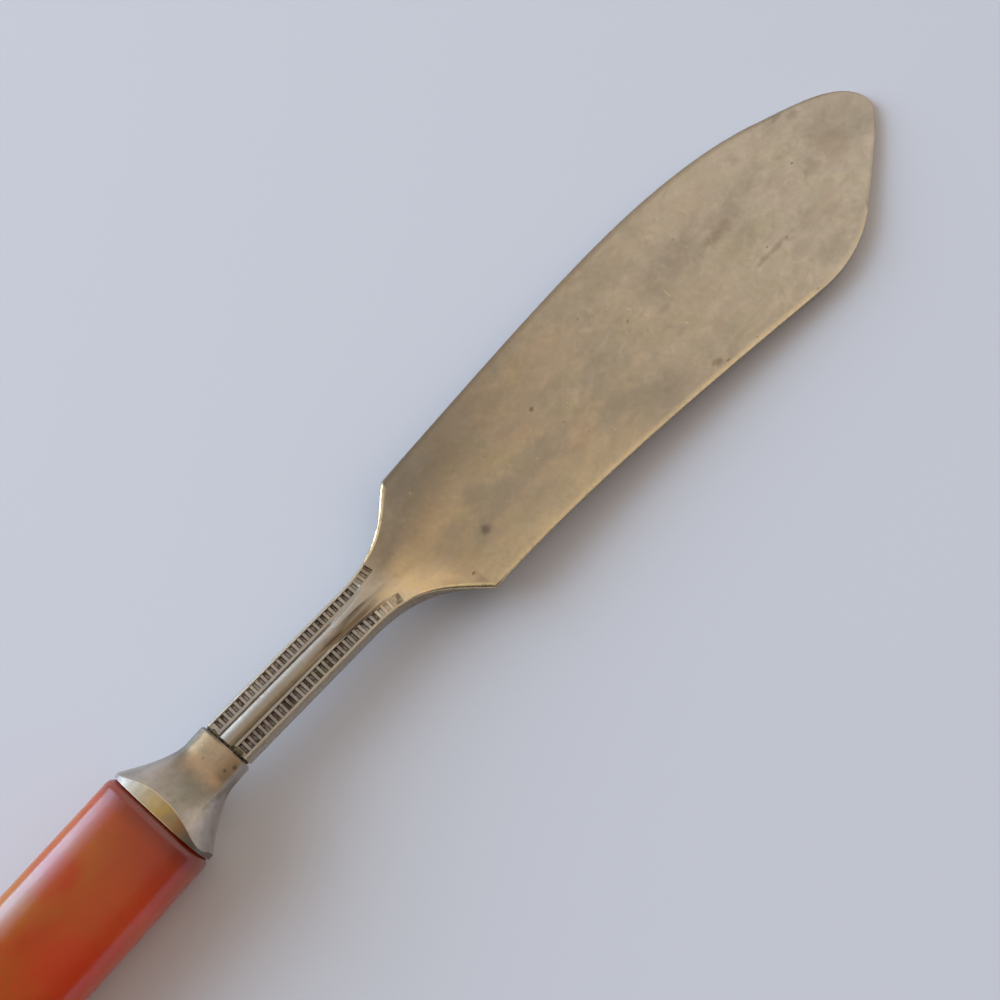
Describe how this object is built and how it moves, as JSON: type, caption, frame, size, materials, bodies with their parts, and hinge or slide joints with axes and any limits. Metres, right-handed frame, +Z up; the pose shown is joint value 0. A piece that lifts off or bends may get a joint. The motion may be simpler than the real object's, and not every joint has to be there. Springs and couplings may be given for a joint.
{
  "type": "butter knife",
  "caption": "Butter knife with a broad flat blade, a milled shank, a flared metal collar and a cast amber handle.",
  "frame": {"origin": "middle of the bounding box in plan, on the plane that the handle's underside and the tip rest on", "axes": "+X along the knife to the tip, +Y towards the back of the blade, +Z up out of the upper face"},
  "size_m": [0.1842, 0.023, 0.01],
  "materials": {
    "blade_plate": "worn and tarnished silver plate, satin",
    "collar_plate": "worn silver plate, semi-bright",
    "handle_resin": "polished marbled amber resin",
    "cement": "dull brown cutler's cement",
    "filler": "dull grey-brown cement",
    "solder": "dark oxidised solder"
  },
  "bodies": {
    "root": {"blade": "blade_plate", "collar": "collar_plate", "handle": "handle_resin", "tang_cement": "cement", "collar_filler": "filler", "seam_solder": "solder"}
  },
  "joints": []
}
